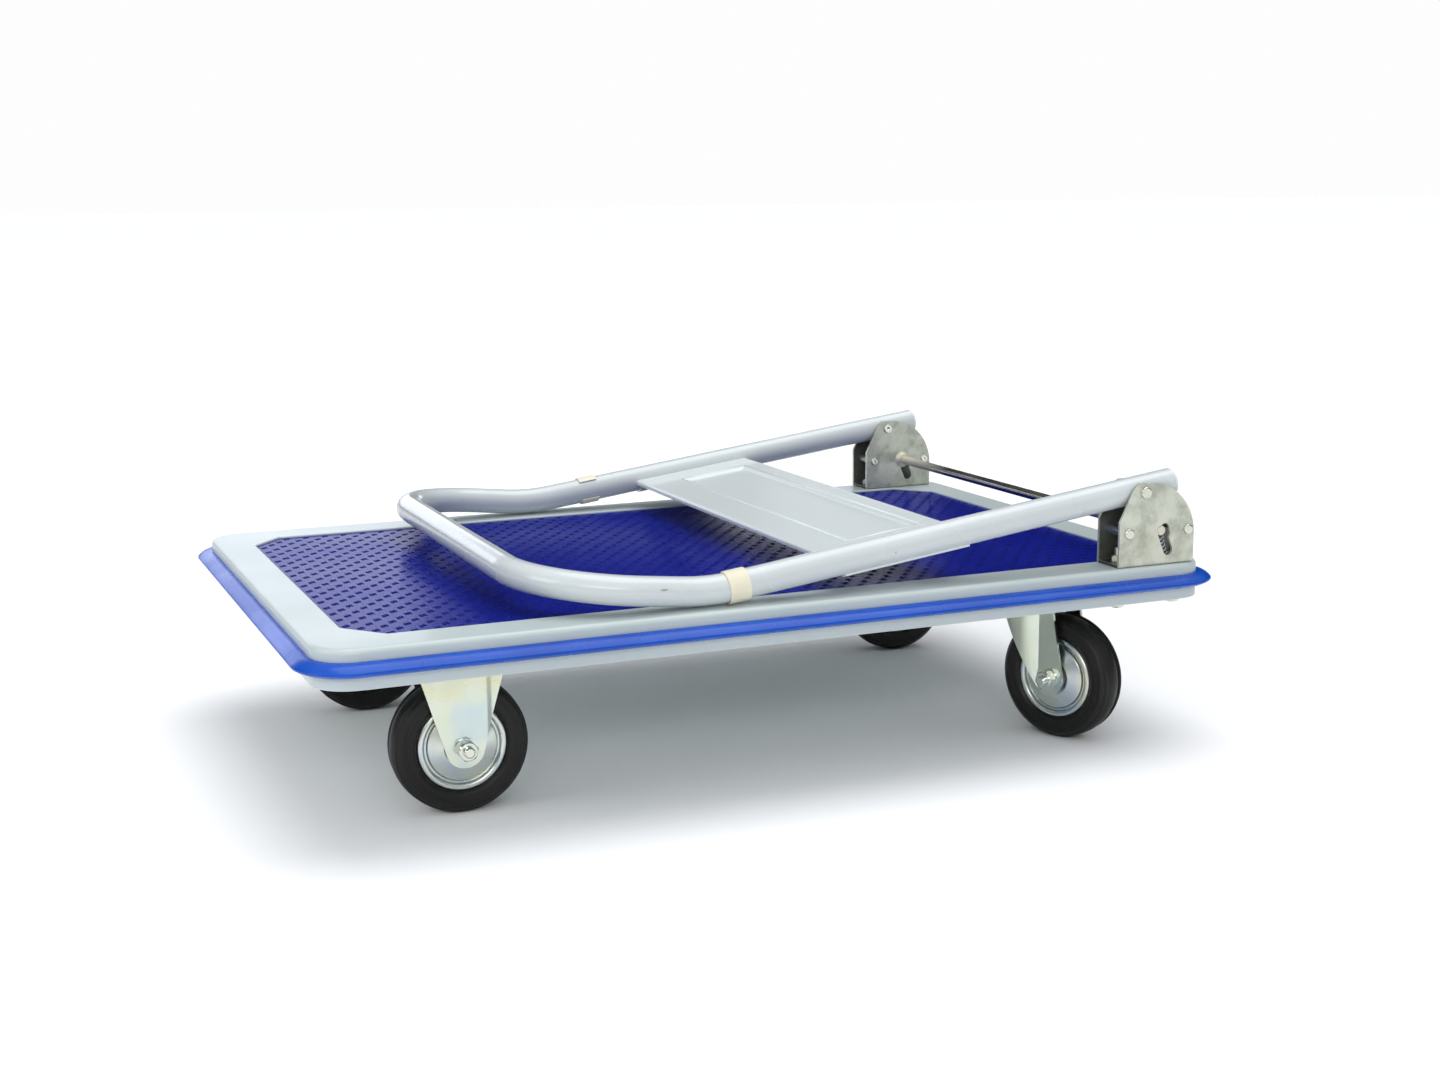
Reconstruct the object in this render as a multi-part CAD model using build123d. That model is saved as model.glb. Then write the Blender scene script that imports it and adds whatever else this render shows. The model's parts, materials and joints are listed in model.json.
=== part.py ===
from build123d import *
from math import cos, sin, tan, radians, atan2, degrees, hypot, sqrt
import os

# Folding platform cart. Millimetres, +Z up, +X towards the end that carries the handle brackets.
# The origin is on the floor, under the middle of the deck.

# Deck
deck_length = 880.0
deck_width = 580.0
deck_top = 182.5
deck_depth = 35.0
deck_corner = 35.0
deck_edge_radius = 5.0
deck_sheet = 2.0
skirt_lip = 10.0
recess_length = 805.0
recess_width = 489.4
recess_chamfer_x = 31.4
recess_chamfer_y = 37.5
recess_depth = 4.0
recess_rim_radius = 1.5
mat_thickness = 2.15
mat_gap = 0.3
mat_edge_radius = 0.6

# Edge bumper, a strip around the skirt with a blunt nose
bumper_height = 12.6
bumper_reach = 15.0
bumper_middle = 165.2

# Stiffening channels under the deck
mount_plane = 160.0
channel_sheet = 2.5
channel_width = 112.0
channel_length = 482.0
channel_flange = 14.0
stiffener_offset = 95.0
stiffener_width = 60.0

# Handle brackets, one U-channel on each side border
bracket_middle = 267.0
bracket_width = 38.0
bracket_sheet = 3.2
bracket_front = 335.0
bracket_back = 421.5
bracket_height = 82.0
bracket_round = 53.5
slope_foot = 45.0
slope_run = 17.5
crest_run = 21.5
crest_drop = 2.5
bracket_bolt_x = (347.0, 411.5)
bracket_bolt_radius = 4.0
bracket_bolt_stand = 17.5
support_width = 26.0

# Handle pivot and the stop that holds the tube upright
pivot_x = 363.5
pivot_z = 255.3
pin_radius = 4.0
bush_radius = 6.5
stop_x = 345.3
stop_z = 216.3
anchor_x = 413.7
anchor_z = 216.0
spacer_radius = 4.2
rivet_radius = 3.0
rivet_head_height = 3.0
rivet_tail_height = 1.8

# Handle
tube_radius = 13.6
tube_wall = 2.0
handle_tilt = 7.55
overhang = 40.5
plug_head = 2.5
kink_distance = 454.6
kink_angle = 13.75
kink_radius = 220.0
grip_distance = 157.7
corner_radius = 95.0

# Pressed panel between the handle's legs
panel_near = 187.0
panel_far = 326.5
panel_sheet = 1.5
panel_top = 1.0
panel_depth = 5.2
panel_edge = 3.4
field_middle = 9.1
field_length = 75.7
field_width = 418.0
field_depth = 2.4
saddle_sheet = 1.85

# Release rod and the slots it slides in
rod_radius = 5.0
rod_x = 383.5
rod_z = 216.5
slot_end_x = 391.3
slot_end_z = 196.8
slot_clearance = 0.4
spring_wire = 1.2
spring_coil = 4.6
spring_pitch = 4.2
spring_offset = 9.5
collar_radius = 9.6
collar_height = 3.2
tube_end_sweep = 45.0
flat_length = 28.4

# Casters
wheel_radius = 62.5
tyre_half_width = 17.2
caster_y = 186.5
fixed_caster_x = -298.0
swivel_caster_x = 308.0
swivel_trail = 30.0
swivel_angle = {"near": -66.0, "far": -3.0}
plate_length = 105.0
plate_width = 85.0
plate_sheet = 4.0
plate_bolt_x = 40.0
plate_bolt_y = 30.0
plate_bolt_radius = 4.0
fork_sheet = 3.0
fork_inside = 22.5
fork_fold = 4.0
axle_radius = 5.0
sleeve_radius = 7.5
hub_bore = 11.5
hub_radius = 13.45
hub_half_length = 21.0
roller_circle = 9.5
roller_radius = 1.93
roller_count = 12
crown_top = 144.0
race_radius = 22.0
ball_radius = 3.5
ball_count = 16
ball_height = 150.0
kingpin_radius = 6.0

# Fits and fasteners
clearance = 0.05
hinge_clearance = 0.08
hole_gap = 0.4
bolt_flats = 13.0
bolt_head_height = 5.3
washer_sheet = 1.6
plate_corner = 8.0

SIDES = {"near": -1, "far": 1}
parts = {}


def both_sides(solid):
    """The solid and its mirror image across the cart's length, as separate solids."""
    return Compound(children=[solid, mirror(solid, about=Plane.XZ)])


def group(solids):
    """Separate solids that share one node."""
    flat = [piece for solid in solids for piece in solid.solids()]
    return Compound(children=flat)


def block(x0, x1, y0, y1, z0, z1):
    """A box between two corners."""
    centre = ((x0 + x1) / 2, (y0 + y1) / 2, (z0 + z1) / 2)
    return Pos(*centre) * Box(x1 - x0, y1 - y0, z1 - z0)


def rod_along_y(radius, x, z, y0, y1):
    """A cylinder along Y between two stations."""
    return Pos(x, (y0 + y1) / 2, z) * Rot(90, 0, 0) * Cylinder(radius, y1 - y0)


def rod_along_z(radius, x, y, z0, z1):
    """A cylinder along Z between two heights."""
    return Pos(x, y, (z0 + z1) / 2) * Cylinder(radius, z1 - z0)


def hexagon(across_flats, height):
    """A hexagonal prism standing on the XY plane, its top corners turned off."""
    prism = extrude(RegularPolygon(across_flats / 2, 6, major_radius=False), height)
    dome = Pos(0, 0, height) * Cone(across_flats / 2 + height, across_flats / 2 - 0.6, height + 0.6,
                                    align=(Align.CENTER, Align.CENTER, Align.MAX))
    return prism & dome


def ring_sector(inner, outer, start, size):
    """A flat ring cut to an angle, in the XY plane, degrees from +X."""
    inside = CenterArc((0, 0), inner, start, size)
    outside = CenterArc((0, 0), outer, start, size)
    edges = [inside, outside, Line(inside @ 0, outside @ 0), Line(inside @ 1, outside @ 1)]
    return make_face(edges)


def recess_outline(grow, z):
    """The recess's outline, a rectangle with its corners cut off, grown by an amount."""
    half_x = recess_length / 2 + grow
    half_y = recess_width / 2 + grow
    cut_growth = grow * (2 - sqrt(2))
    cut_x = recess_chamfer_x + cut_growth
    cut_y = recess_chamfer_y + cut_growth
    corner = [(half_x, half_y - cut_y), (half_x - cut_x, half_y)]
    quarter_turns = [(1, 1), (-1, 1), (-1, -1), (1, -1)]
    points = []
    for sx, sy in quarter_turns:
        pair = corner if sx * sy > 0 else corner[::-1]
        points += [(sx * x, sy * y) for x, y in pair]
    return Pos(0, 0, z) * make_face(Polyline(*points, close=True))


# Deck pan

def make_deck_pan():
    """Pressed deck: a sheet with a sunken field for the mat, rounded edges and turned-in skirts."""
    base = deck_top - deck_depth
    pan = Pos(0, 0, base) * extrude(RectangleRounded(deck_length, deck_width, deck_corner), deck_depth)
    pan = fillet(pan.faces().sort_by(Axis.Z)[-1].edges(), deck_edge_radius)
    inside = RectangleRounded(deck_length - 2 * deck_sheet, deck_width - 2 * deck_sheet,
                              deck_corner - deck_sheet)
    hollow = Pos(0, 0, base + deck_sheet) * extrude(inside, deck_depth - 2 * deck_sheet)
    hollow = fillet(hollow.faces().sort_by(Axis.Z)[-1].edges(), deck_edge_radius - deck_sheet)
    floor = extrude(recess_outline(deck_sheet, deck_top - recess_depth - deck_sheet), recess_depth)
    mouth = RectangleRounded(deck_length - 2 * skirt_lip, deck_width - 2 * skirt_lip,
                             deck_corner - skirt_lip / 2)
    pan -= hollow - floor
    pan -= Pos(0, 0, base - 1) * extrude(mouth, deck_sheet + 2)
    pan -= extrude(recess_outline(0, deck_top - recess_depth), recess_depth + 1)
    rim = [edge for edge in pan.edges().filter_by(GeomType.LINE)
           if abs(edge.center().Z - deck_top) < 0.01 and abs(edge.center().Y) < recess_width / 2 + 1
           and abs(edge.center().X) < recess_length / 2 + 1]
    pan = fillet(rim, recess_rim_radius)
    for side in SIDES.values():
        for x in bracket_bolt_x:
            pan -= rod_along_z(bracket_bolt_radius + hole_gap, x, side * bracket_middle, base, deck_top + 1)
    return pan


def make_mat():
    """Vinyl mat that lies in the deck's sunken field."""
    bottom = deck_top - recess_depth
    mat = extrude(recess_outline(-mat_gap, bottom), mat_thickness)
    return fillet(mat.faces().sort_by(Axis.Z)[-1].edges(), mat_edge_radius)


def make_bumper():
    """Blunt-nosed strip swept around the deck's skirt."""
    path = Pos(0, 0, bumper_middle) * RectangleRounded(deck_length, deck_width, deck_corner).wire()
    half = bumper_height / 2
    nose_top = (bumper_reach - 0.9, 0.9)
    nose_under = (bumper_reach - 1.2, -2.4)
    outline = [
        Line((0, -half), (0, half)),
        ThreePointArc((0, half), (bumper_reach * 0.6, half * 0.74), nose_top),
        ThreePointArc(nose_top, (bumper_reach, -0.8), nose_under),
        ThreePointArc(nose_under, (bumper_reach * 0.55, -half * 0.84), (0, -half)),
    ]
    start = path @ 0
    outward = Vector(start.X, start.Y, 0)
    across = (path % 0).cross(Vector(0, 0, 1))
    if across.dot(outward) < 0:
        across = across * -1
    section_plane = Plane(origin=start, x_dir=across, z_dir=across.cross(Vector(0, 0, 1)))
    section = section_plane * make_face(outline)
    return sweep(section, path=path)


# Channels under the deck

def hat_channel(length_x, length_y, bottom, along_x):
    """Hat section with its web down at a height, its flanges against the deck's underside."""
    top = deck_top - recess_depth - deck_sheet
    height = top - bottom
    hat = Pos(0, 0, bottom + height / 2) * Box(length_x, length_y, height)
    inner_x = length_x + 2 if along_x else length_x - 2 * channel_sheet
    inner_y = length_y - 2 * channel_sheet if along_x else length_y + 2
    hat -= Pos(0, 0, bottom + channel_sheet + height / 2) * Box(inner_x, inner_y, height)
    for side in (-1, 1):
        reach_x = 0 if along_x else side * (length_x + channel_flange) / 2
        reach_y = side * (length_y + channel_flange) / 2 if along_x else 0
        size_x = length_x if along_x else channel_flange
        size_y = channel_flange if along_x else length_y
        hat += Pos(reach_x, reach_y, top - channel_sheet / 2) * Box(size_x, size_y, channel_sheet)
    return hat


def plate_bolt_places():
    """Centres of the sixteen bolts that hold the four casters."""
    places = []
    for centre_x in (fixed_caster_x, swivel_caster_x):
        for side in SIDES.values():
            for dx in (-plate_bolt_x, plate_bolt_x):
                for dy in (-plate_bolt_y, plate_bolt_y):
                    places.append((centre_x + dx, side * caster_y + dy))
    return places


def make_caster_channels():
    """Two cross channels, one over each pair of casters."""
    channels = []
    for centre_x in (fixed_caster_x, swivel_caster_x):
        channel = Pos(centre_x, 0, 0) * hat_channel(channel_width, channel_length, mount_plane, False)
        for x, y in plate_bolt_places():
            if abs(x - centre_x) < channel_width:
                channel -= rod_along_z(plate_bolt_radius + hole_gap, x, y, mount_plane - 1, mount_plane + 8)
        channels.append(channel)
    return group(channels)


def make_stiffeners():
    """Two channels along the deck, between the cross channels."""
    reach = channel_width / 2 + channel_flange + 2
    start = fixed_caster_x + reach
    end = swivel_caster_x - reach
    middle = (start + end) / 2
    bottom = mount_plane + 2
    hats = [Pos(middle, side * stiffener_offset, 0) * hat_channel(end - start, stiffener_width, bottom, True)
            for side in SIDES.values()]
    return group(hats)


def make_bracket_supports():
    """Box sections inside the skirt that carry the bracket bolts."""
    bottom = deck_top - deck_depth + deck_sheet
    top = deck_top - deck_sheet
    outer = block(bracket_front - 5, bracket_back + 5, -support_width / 2, support_width / 2, bottom, top)
    wall = 2.5
    inner = block(bracket_front - 6, bracket_back + 6, -support_width / 2 + wall, support_width / 2 - wall,
                  bottom + wall, top - wall)
    tube = Pos(0, bracket_middle, 0) * (outer - inner)
    beside_lip = block(0, deck_length, 0, deck_width / 2 - deck_sheet - skirt_lip, 0, deck_top)
    above_lip = block(0, deck_length, 0, deck_width / 2 - deck_sheet - 0.2, bottom + 0.2, deck_top)
    tube &= beside_lip + above_lip
    for x in bracket_bolt_x:
        tube -= rod_along_z(bracket_bolt_radius + hole_gap, x, bracket_middle, bottom - 1, top + 1)
    return both_sides(tube)


# Brackets

def bracket_side_face():
    """Outline of a bracket's cheek in X and Z: sloped front, quarter-round back."""
    top = deck_top + bracket_height
    centre_x = bracket_back - bracket_round
    centre_z = top - bracket_round
    slope_start = (bracket_front, deck_top + slope_foot)
    slope_end = (bracket_front + slope_run, top - crest_drop)
    crest = (bracket_front + crest_run, top)
    outline = [
        Line((bracket_front, deck_top), slope_start),
        Line(slope_start, slope_end),
        Line(slope_end, crest),
        Line(crest, (centre_x, top)),
        CenterArc((centre_x, centre_z), bracket_round, 0, 90),
        Line((bracket_back, centre_z), (bracket_back, deck_top)),
        Line((bracket_back, deck_top), (bracket_front, deck_top)),
    ]
    return make_face(outline)


def rod_slot_face(half_width):
    """J-shaped slot: a seat for the rod, an arch beside it and a straight run down and back."""
    run = hypot(slot_end_x - rod_x, slot_end_z - rod_z)
    angle = degrees(atan2(slot_end_z - rod_z, slot_end_x - rod_x))
    middle = Pos((rod_x + slot_end_x) / 2, (rod_z + slot_end_z) / 2)
    slot = middle * Rot(0, 0, angle) * SlotCenterToCenter(run, 2 * half_width)
    arch = Pos(rod_x + 3.6, rod_z + 1.8) * Circle(half_width)
    return slot + arch + Pos(rod_x + 4.6, rod_z - 3.0) * Circle(half_width)


def make_bracket(side):
    """U-channel bracket with its two cheeks upright."""
    half = bracket_width / 2
    side_face = Plane.XZ * bracket_side_face()
    body = extrude(side_face, half, both=True)
    foot = [edge for edge in body.edges().filter_by(Axis.X) if abs(edge.center().Z - deck_top) < 0.01]
    body = fillet(foot, bracket_sheet)
    channel = block(bracket_front - 1, bracket_back + 1, -half + bracket_sheet, half - bracket_sheet,
                    deck_top + bracket_sheet, deck_top + bracket_height + 1)
    body -= channel
    holes = [
        (pivot_x, pivot_z, pin_radius),
        (stop_x, stop_z, rivet_radius),
        (anchor_x, anchor_z, rivet_radius),
    ]
    for x, z, radius in holes:
        body -= rod_along_y(radius + clearance, x, z, -half - 1, half + 1)
    slot = extrude(Plane.XZ * rod_slot_face(rod_radius + slot_clearance), half + 1, both=True)
    body -= slot
    for x in bracket_bolt_x:
        body -= rod_along_z(bracket_bolt_radius + hole_gap, x, 0, deck_top - 1, deck_top + bracket_sheet + 1)
    return Pos(0, side * bracket_middle, 0) * body


def rivet(x, z, radius, head_radius):
    """Rivet through both cheeks: a low domed head outside and a rolled, hollow tail inside."""
    half = bracket_width / 2
    tail_radius = radius + 1.3
    bore_radius = radius * 0.55
    head = rod_along_y(head_radius, x, z, -half - rivet_head_height, -half)
    head = fillet(head.faces().sort_by(Axis.Y)[0].edges(), rivet_head_height / 2)
    tail = rod_along_y(tail_radius, x, z, half, half + rivet_tail_height)
    tail = fillet(tail.faces().sort_by(Axis.Y)[-1].edges(), rivet_tail_height * 0.4)
    body = head + rod_along_y(radius, x, z, -half, half) + tail
    return body - rod_along_y(bore_radius, x, z, half - 2, half + 2)


def spacer(x, z):
    """Tube between the cheeks, around a rivet."""
    half = bracket_width / 2 - bracket_sheet
    outer = rod_along_y(spacer_radius, x, z, -half, half)
    return outer - rod_along_y(rivet_radius + clearance, x, z, -half - 1, half + 1)


def on_near_bracket(solid):
    """Move a piece from the cart's middle to the near bracket, and mirror it to the far one."""
    return both_sides(Pos(0, -bracket_middle, 0) * solid)


def make_bracket_bolts():
    """Hexagon bolts from under the deck, with their ends standing in the brackets."""
    under = deck_top - deck_depth - washer_sheet
    bolts = []
    for x in bracket_bolt_x:
        bolt = rod_along_z(bracket_bolt_radius, x, 0, under, deck_top + bracket_bolt_stand)
        bolt += Pos(x, 0, under) * Rot(180, 0, 0) * hexagon(bolt_flats, bolt_head_height)
        bolt = chamfer(bolt.faces().sort_by(Axis.Z)[-1].edges(), 0.8)
        bolts.append(bolt)
    return group([on_near_bracket(bolt) for bolt in bolts])


def make_bracket_nuts():
    """Nuts on the brackets' floors and washers under the bolt heads."""
    under = deck_top - deck_depth
    pieces = []
    for x in bracket_bolt_x:
        hole = rod_along_z(bracket_bolt_radius + clearance, x, 0, 100, 300)
        nut = Pos(x, 0, deck_top + bracket_sheet) * hexagon(bolt_flats, 6.6)
        washer = rod_along_z(8.5, x, 0, under - washer_sheet, under)
        pieces += [on_near_bracket(nut - hole), on_near_bracket(washer - hole)]
    return group(pieces)


# Springs that push the release rod up

def make_release_springs():
    """Compression springs on the brackets' floors, under the rod and just inside the outer cheeks."""
    wire = spring_wire
    coil = spring_coil
    angle = atan2(slot_end_x - rod_x, rod_z - slot_end_z) * 0.8
    foot_gap = 0.2
    foot_z = deck_top + bracket_sheet + coil * sin(angle) + wire + foot_gap
    foot_x = rod_x + (rod_z - foot_z) * tan(angle)
    reach = (rod_z - foot_z) / cos(angle) - rod_radius - wire - foot_gap
    helix = Helix(pitch=spring_pitch, height=reach, radius=coil)
    helix = Pos(foot_x, 0, foot_z) * Rot(0, -degrees(angle), 0) * helix
    coiled = sweep(Plane(origin=helix @ 0, z_dir=helix % 0) * Circle(wire), path=helix)
    return on_near_bracket(Pos(0, -spring_offset, 0) * coiled)


# Handle

leg_frame = Plane(origin=(pivot_x, 0, pivot_z),
                  x_dir=(cos(radians(handle_tilt)), 0, sin(radians(handle_tilt))),
                  z_dir=(-sin(radians(handle_tilt)), 0, cos(radians(handle_tilt))))
cross_frame = leg_frame * Plane(origin=(0, 0, 0), x_dir=(0, 1, 0), z_dir=(1, 0, 0))


def make_handle_tube():
    """Round tube bent into a U: two straight legs, a slight kink in each, and the grip bar."""
    grip_x = -kink_distance - grip_distance * cos(radians(kink_angle))
    grip_z = grip_distance * sin(radians(kink_angle))
    y = bracket_middle
    local = [(overhang, -y, 0), (-kink_distance, -y, 0), (grip_x, -y, grip_z),
             (grip_x, y, grip_z), (-kink_distance, y, 0), (overhang, y, 0)]
    points = [leg_frame.from_local_coords(Vector(*point)) for point in local]
    path = FilletPolyline(*points, radius=[kink_radius, corner_radius, corner_radius, kink_radius])
    start = Plane(origin=path @ 0, z_dir=path % 0)
    tube = sweep(start * Circle(tube_radius), path=path)
    tube -= sweep(start * Circle(tube_radius - tube_wall), path=path)
    for side in SIDES.values():
        y0 = side * bracket_middle
        tube -= rod_along_y(bush_radius + clearance, pivot_x, pivot_z, y0 - 20, y0 + 20)
    return tube


def make_end_plugs():
    """Plastic plugs in the two lower ends of the tube."""
    head = Cylinder(tube_radius, plug_head, align=(Align.CENTER, Align.CENTER, Align.MIN))
    head = fillet(head.faces().sort_by(Axis.Z)[-1].edges(), plug_head - 0.2)
    stem = Cylinder(tube_radius - tube_wall - clearance, 12, align=(Align.CENTER, Align.CENTER, Align.MAX))
    plug = leg_frame * Pos(overhang, -bracket_middle, 0) * Rot(0, 90, 0) * (head + stem)
    return both_sides(plug)


def make_pivot_bushes():
    """Flanged plastic bushes, one in each wall of the tube."""
    reach = bracket_width / 2 - bracket_sheet - 0.3
    flange = 1.8
    sleeve = rod_along_y(bush_radius, pivot_x, pivot_z, 0.1, reach)
    sleeve += rod_along_y(bush_radius + 3, pivot_x, pivot_z, reach - flange, reach)
    sleeve -= rod_along_y(pin_radius + hinge_clearance, pivot_x, pivot_z, -1, reach + 1)
    pair = group([sleeve, mirror(sleeve, about=Plane.XZ)])
    return group([Pos(0, side * bracket_middle, 0) * pair for side in SIDES.values()])


def make_panel():
    """Pressed panel welded between the legs: folded long edges, a sunken field and end saddles."""
    half_y = bracket_middle - tube_radius - clearance
    size_x = panel_far - panel_near
    middle_x = -(panel_far + panel_near) / 2
    tray = Pos(0, 0, panel_top - panel_depth / 2) * Box(size_x, 2 * half_y, panel_depth)
    top_edges = tray.faces().sort_by(Axis.Z)[-1].edges().filter_by(Axis.Y)
    tray = fillet(top_edges, panel_edge)
    inner_x = size_x - 2 * panel_sheet
    hollow = Pos(0, 0, panel_top - panel_sheet - panel_depth / 2) * Box(inner_x, 2 * half_y + 2, panel_depth)
    hollow_edges = hollow.faces().sort_by(Axis.Z)[-1].edges().filter_by(Axis.Y)
    tray -= fillet(hollow_edges, panel_edge - panel_sheet)

    floor_bottom = panel_top - field_depth - panel_sheet
    floor_top = panel_top - panel_sheet / 2
    floor = Pos(field_middle, 0, (floor_bottom + floor_top) / 2)
    tray += floor * Box(field_length + 3, field_width + 3, floor_top - floor_bottom)
    field = Rectangle(field_length, field_width)
    tray -= Pos(field_middle, 0, panel_top) * extrude(field, -field_depth, taper=45)
    bead = Rot(90, 0, 0) * Cylinder(1.5, 2 * half_y - 24)
    tray += Pos(field_middle + field_length / 2 + 1.0, 0, panel_top - 0.9) * bead

    saddle = Plane.YZ * ring_sector(tube_radius + clearance, tube_radius + saddle_sheet, -120, 122)
    saddle_length = size_x - 9
    saddle = extrude(saddle, saddle_length / 2, both=True)
    saddle = Pos(0, -bracket_middle, 0) * saddle
    tray += saddle
    tray += mirror(saddle, about=Plane.XZ)
    return leg_frame * Pos(middle_x, 0, 0) * tray


def make_clips():
    """Snap-on plastic clips around the legs: distance along the leg, start angle and size of each."""
    width = 20.0
    inner = tube_radius + 0.4
    outer = tube_radius + 1.7
    snaps = {"near": (-428.4, 68, 224), "far": (-383.0, -145, 273)}
    clips = []
    for name, (distance, start, size) in snaps.items():
        shape = extrude(Plane.YZ * ring_sector(inner, outer, start, size), width / 2, both=True)
        clips.append(leg_frame * Pos(distance, SIDES[name] * bracket_middle, 0) * shape)
    return group(clips)


# Release rod

def make_release_rod():
    """Foot-operated rod across the cart, relieved where the tube ends swing past it."""
    reach = bracket_middle + bracket_width / 2 - 0.6
    rod = chamfer(rod_along_y(rod_radius, rod_x, rod_z, -reach, reach).edges(), 0.8)
    for side in SIDES.values():
        start = side * bracket_middle - flat_length / 2
        rod -= rod_along_y(tube_end_sweep, pivot_x, pivot_z, start, start + flat_length)
    return rod


def make_rod_collars():
    """Flared collars on the rod, just inside the brackets' inner cheeks."""
    face = bracket_middle - bracket_width / 2 - 0.3
    collar = Pos(rod_x, -face, rod_z) * Rot(-90, 0, 0) * Cone(
        collar_radius, rod_radius + 0.8, collar_height, align=(Align.CENTER, Align.CENTER, Align.MIN))
    collar -= rod_along_y(rod_radius, rod_x, rod_z, -face - 1, -face + collar_height + 1)
    return both_sides(collar)


# Wheels, made around the Y axis at the origin

def revolved(points):
    """A ring around Y from a closed outline of radius and axial position."""
    return revolve(make_face(Polyline(*points, close=True)), Axis.Y)


def make_tyre():
    """Solid rubber tyre with rounded, grooved shoulders."""
    half = [
        (39.7, 10.7), (41.5, 12.5), (41.5, 13.8), (43.6, 15.8), (47.6, 16.9), (48.1, 16.5), (48.7, 17.0),
        (52.0, 17.2), (55.6, 16.8), (58.0, 15.7), (59.3, 14.6), (59.3, 13.9), (60.2, 13.2), (61.0, 12.0),
        (60.9, 11.3), (61.7, 10.3), (62.2, 8.2), (wheel_radius, 5.0),
    ]
    other = [(radius, -axial) for radius, axial in reversed(half)]
    return revolved(half + other)


def make_rim():
    """Two pressed rim halves with a rolled outer ring, a groove and a dished disc."""
    ring_start = (34.6, 11.0)
    ring_end = (41.2, 13.0)
    lines = [
        Polyline((13.5, 18.5), (18.0, 18.5), (31.5, 14.5), (32.6, 11.0), ring_start),
        ThreePointArc(ring_start, (38.0, 16.4), ring_end),
        Polyline(ring_end, (40.6, 12.0), (39.5, 10.9), (39.5, 0.05), (37.5, 0.05), (37.5, 9.0), (31.5, 9.0),
                 (30.2, 12.6), (17.6, 16.4), (13.5, 16.4), (13.5, 18.5)),
    ]
    half = revolve(make_face(lines), Axis.Y)
    return group([half, mirror(half, about=Plane.XZ)])


def make_hub():
    """Steel tube that the rim halves sit on."""
    return revolved([(hub_bore, -hub_half_length), (hub_radius, -hub_half_length),
                     (hub_radius, hub_half_length), (hub_bore, hub_half_length)])


def make_bearing():
    """Roller bearing: twelve rollers between two cage rings."""
    ring_in = roller_circle - roller_radius
    ring_out = roller_circle + roller_radius
    cage = revolved([(ring_in, 18), (ring_out, 18), (ring_out, 20), (ring_in, 20)])
    bearing = cage + mirror(cage, about=Plane.XZ)
    for index in range(roller_count):
        angle = radians(360 / roller_count * index)
        x = roller_circle * cos(angle)
        z = roller_circle * sin(angle)
        bearing += rod_along_y(roller_radius, x, z, -18.2, 18.2)
    return bearing


def make_sleeve():
    """Spacer tube around the axle bolt, clamped between the fork's legs."""
    return revolved([(axle_radius + clearance, -fork_inside), (sleeve_radius, -fork_inside),
                     (sleeve_radius, fork_inside), (axle_radius + clearance, fork_inside)])


def make_axle_bolt():
    """Axle bolt with its head towards +Y."""
    face = fork_inside + fork_sheet
    shank = rod_along_y(axle_radius, 0, 0, -face - 14.5, face)
    shank = chamfer(shank.faces().sort_by(Axis.Y)[0].edges(), 1.2)
    return shank + Pos(0, face, 0) * Rot(-90, 0, 0) * hexagon(16, 6.4)


def make_axle_nut():
    """Nut on the axle bolt, and its washer."""
    face = fork_inside + fork_sheet
    hole = rod_along_y(axle_radius + clearance, 0, 0, -face - 30, face)
    washer = rod_along_y(10.2, 0, 0, -face - washer_sheet, -face) - hole
    nut = Pos(0, -face - washer_sheet, 0) * Rot(90, 0, 0) * Rot(0, 0, 12) * hexagon(17, 8.4)
    return group([washer, nut - hole])


# Forks, made with the axle along Y at the origin

def fork_legs(cross_section, side_view, bottom, top):
    """Two legs: a folded plan section, trimmed to the side view's outline."""
    leg = Pos(0, 0, bottom) * extrude(cross_section, top - bottom)
    leg &= extrude(Plane.XZ * side_view, 60, both=True)
    leg -= rod_along_y(axle_radius + 0.15, 0, 0, -60, 60)
    return leg + mirror(leg, about=Plane.XZ)


def tapered_view(end_radius, top, left, right):
    """Side view of a leg: a round end around the axle that widens to the top."""
    round_end = Circle(end_radius)
    spread = atan2(right - end_radius, top)
    lean = atan2(-left - end_radius, top)
    points = [(left, top), (-end_radius * cos(lean), -end_radius * sin(lean)),
              (end_radius * cos(spread), -end_radius * sin(spread)), (right, top)]
    return round_end + make_face(Polyline(*points, close=True))


def make_fixed_fork():
    """Fixed caster fork: a flat bolting plate with two folded legs."""
    top = mount_plane - wheel_radius
    seat = top - plate_sheet
    middle = fork_inside + fork_sheet / 2
    fold, shoulder, wing = 19.5, 26.0, 50.0
    line = [(-wing, middle - fork_fold), (-shoulder, middle - fork_fold), (-fold, middle),
            (fold, middle), (shoulder, middle - fork_fold), (wing, middle - fork_fold)]
    section = offset(FilletPolyline(*line, radius=5), amount=fork_sheet / 2, kind=Kind.INTERSECTION)
    section = make_face(section.edges())
    view = tapered_view(17.5, seat, -46.0, 46.0)
    fork = fork_legs(section, view, -20, seat)
    plate = Pos(0, 0, (seat + top) / 2) * Box(plate_length, plate_width, plate_sheet)
    plate = fillet(plate.edges().filter_by(Axis.Z), plate_corner)
    fork += plate
    for dx in (-plate_bolt_x, plate_bolt_x):
        for dy in (-plate_bolt_y, plate_bolt_y):
            fork -= rod_along_z(plate_bolt_radius + hole_gap, dx, dy, seat - 1, top + 1)
    return fork


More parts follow.
